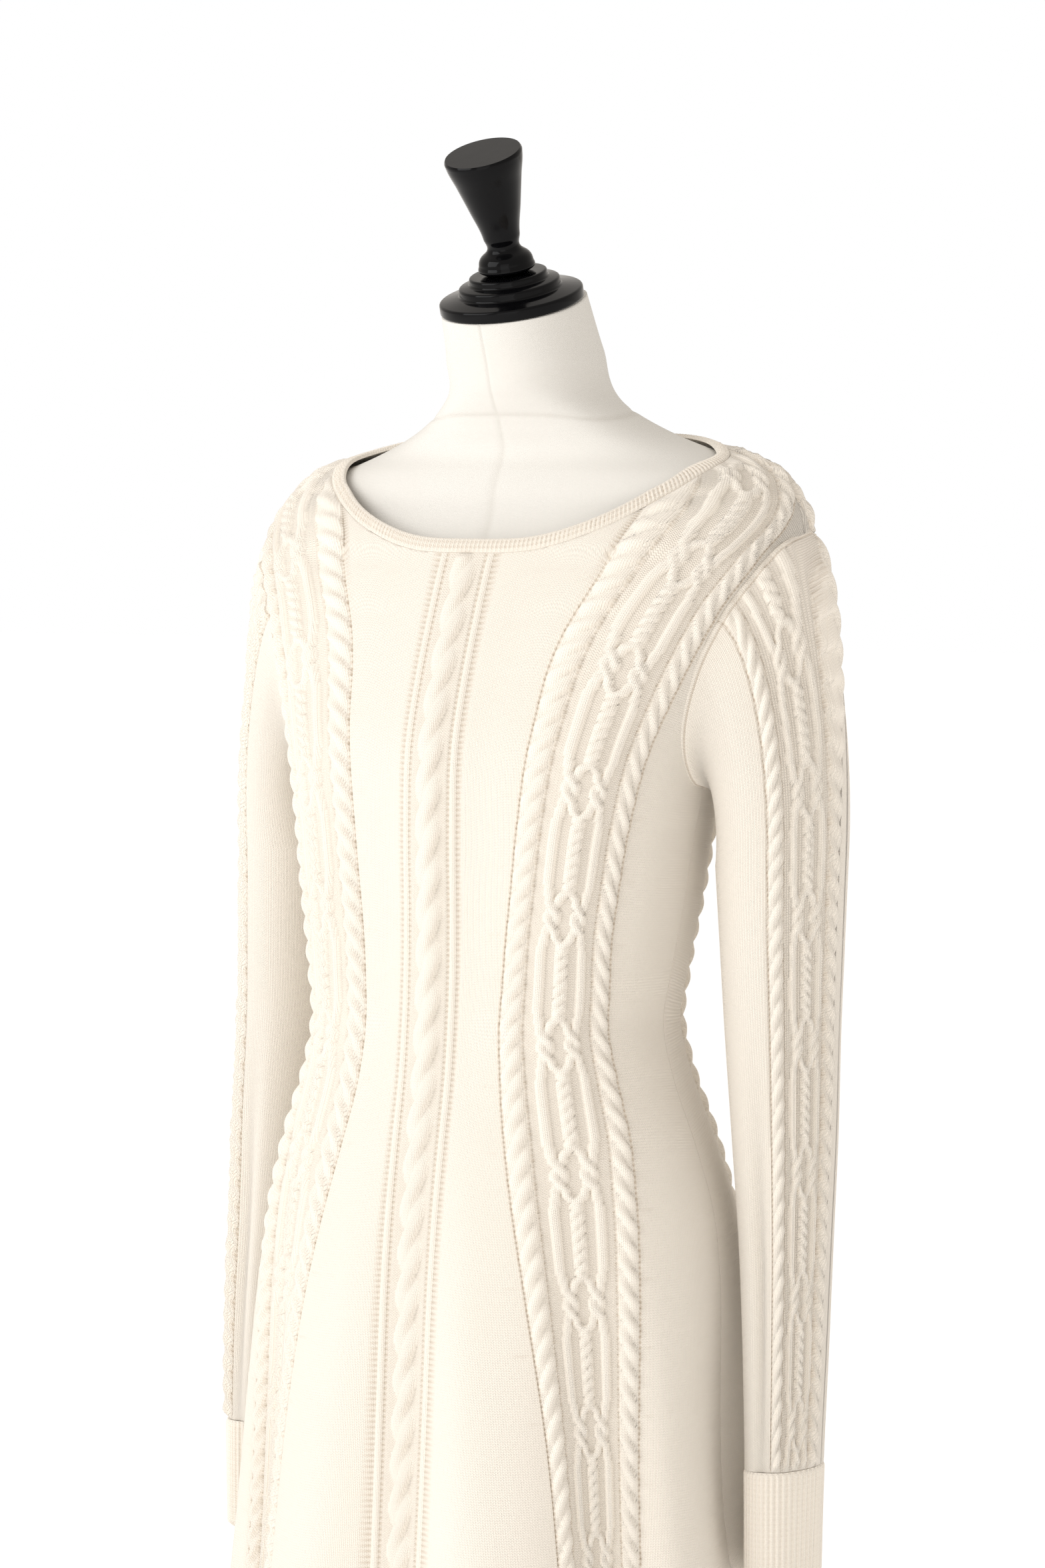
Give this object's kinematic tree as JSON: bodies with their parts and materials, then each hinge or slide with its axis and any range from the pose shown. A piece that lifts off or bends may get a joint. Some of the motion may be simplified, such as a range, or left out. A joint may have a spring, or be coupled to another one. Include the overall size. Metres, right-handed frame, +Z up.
{
  "type": "cable-knit sweater dress on a limbless dress form",
  "caption": "Long-sleeved fit-and-flare cable-knit dress with a ribbed scoop neck, worn by a limbless canvas dress form with a turned neck cap, finial, pole and round foot.",
  "frame": {"origin": "centre of the stand's round foot, on the floor", "axes": "+Z up along the pole, -Y towards the front of the dress, +X towards the wearer's left"},
  "size_m": [0.4886, 0.4143, 1.5697],
  "materials": {
    "knit": "fine-gauge wool knit, cream, matt",
    "rib": "ribbed wool knit, cream, matt",
    "canvas": "plain woven canvas, off-white",
    "black_gloss": "turned wood, gloss black lacquer",
    "black_metal": "satin black paint"
  },
  "bodies": {
    "root": {"front": "knit", "back": "knit", "sleeve_left": "knit", "sleeve_right": "knit", "cuff_left": "rib", "cuff_right": "rib", "neckband": "rib", "form_torso": "canvas", "neck_cap": "black_gloss", "finial": "black_gloss", "stand_pole": "black_metal", "stand_base": "black_metal"}
  },
  "joints": []
}
